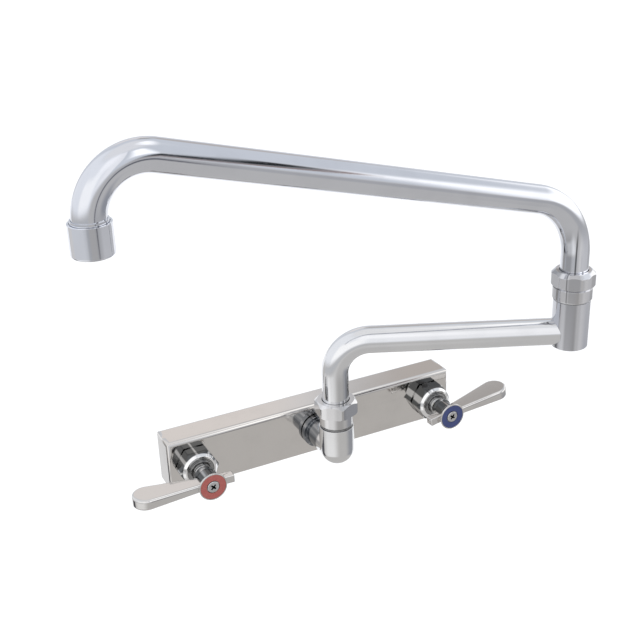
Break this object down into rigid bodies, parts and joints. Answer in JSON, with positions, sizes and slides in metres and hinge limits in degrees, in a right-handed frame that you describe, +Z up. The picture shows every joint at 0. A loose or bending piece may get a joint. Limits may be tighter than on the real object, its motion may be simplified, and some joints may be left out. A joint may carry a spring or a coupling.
{
  "type": "commercial wall faucet",
  "caption": "Wall-mounted commercial mixing faucet with lever valves for hot and cold water and a swing spout with a second swivel joint at its elbow.",
  "frame": {"origin": "centre of the body's flat back, on the finished wall, midway between the two inlets", "axes": "+X to the user's right along the body, +Y into the wall, +Z up; the user stands at -Y"},
  "size_m": [0.3647, 0.1474, 0.2976],
  "materials": {
    "chrome_plate": "polished chrome plate on brass",
    "stainless": "plain stainless steel",
    "brass": "machined brass",
    "rubber": "black sealing rubber",
    "white_washer": "white low-friction plastic",
    "white_plastic": "moulded white plastic",
    "ceramic": "lapped white ceramic",
    "hot_red": "muted red enamel",
    "cold_blue": "muted navy enamel"
  },
  "bodies": {
    "body": {"valve_body": "chrome_plate", "elbow_gasket": "rubber", "outlet_elbow": "chrome_plate", "lower_nut_washer": "stainless", "lower_swivel_nut": "chrome_plate", "lower_slip_ring": "white_washer", "hot_bonnet_washer": "white_washer", "hot_bonnet": "chrome_plate", "hot_cartridge_sleeve": "brass", "hot_seat_seal": "rubber", "hot_fixed_disc": "ceramic", "hot_gland_nut": "brass", "cold_bonnet_washer": "white_washer", "cold_bonnet": "chrome_plate", "cold_cartridge_sleeve": "brass", "cold_seat_seal": "rubber", "cold_fixed_disc": "ceramic", "cold_gland_nut": "brass"},
    "hot_handle": {"hot_lever": "chrome_plate", "hot_index_ring": "hot_red", "hot_lever_screw": "stainless", "hot_stem": "brass", "hot_stem_o_ring": "rubber", "hot_stem_clip": "stainless", "hot_turning_disc": "ceramic"},
    "cold_handle": {"cold_lever": "chrome_plate", "cold_index_ring": "cold_blue", "cold_lever_screw": "stainless", "cold_stem": "brass", "cold_stem_o_ring": "rubber", "cold_stem_clip": "stainless", "cold_turning_disc": "ceramic"},
    "first_arm": {"first_arm": "chrome_plate", "lower_spigot": "brass", "lower_o_rings": "rubber", "swivel_socket": "chrome_plate", "upper_nut_washer": "stainless", "upper_swivel_nut": "chrome_plate", "upper_slip_ring": "white_washer"},
    "second_arm": {"second_arm": "chrome_plate", "upper_spigot": "brass", "upper_o_rings": "rubber", "outlet_adapter": "chrome_plate", "aerator_washer": "rubber", "aerator_screen": "stainless", "aerator_core": "white_plastic", "aerator_shell": "chrome_plate"}
  },
  "joints": [
    {"name": "hot_handle_turn", "type": "hinge", "parent": "body", "child": "hot_handle", "pos_m": [-0.1016, -0.04, 0], "axis": [0, -1, 0], "range_deg": [0, 90]},
    {"name": "cold_handle_turn", "type": "hinge", "parent": "body", "child": "cold_handle", "pos_m": [0.1016, -0.04, 0], "axis": [0, 1, 0], "range_deg": [0, 90]},
    {"name": "lower_swivel", "type": "hinge", "parent": "body", "child": "first_arm", "pos_m": [0, -0.0595, 0.04], "axis": [0, 0, 1], "range_deg": [-169, 39]},
    {"name": "upper_swivel", "type": "hinge", "parent": "first_arm", "child": "second_arm", "pos_m": [0.15498, -0.13177, 0.12], "axis": [0, 0, 1], "continuous": true}
  ]
}
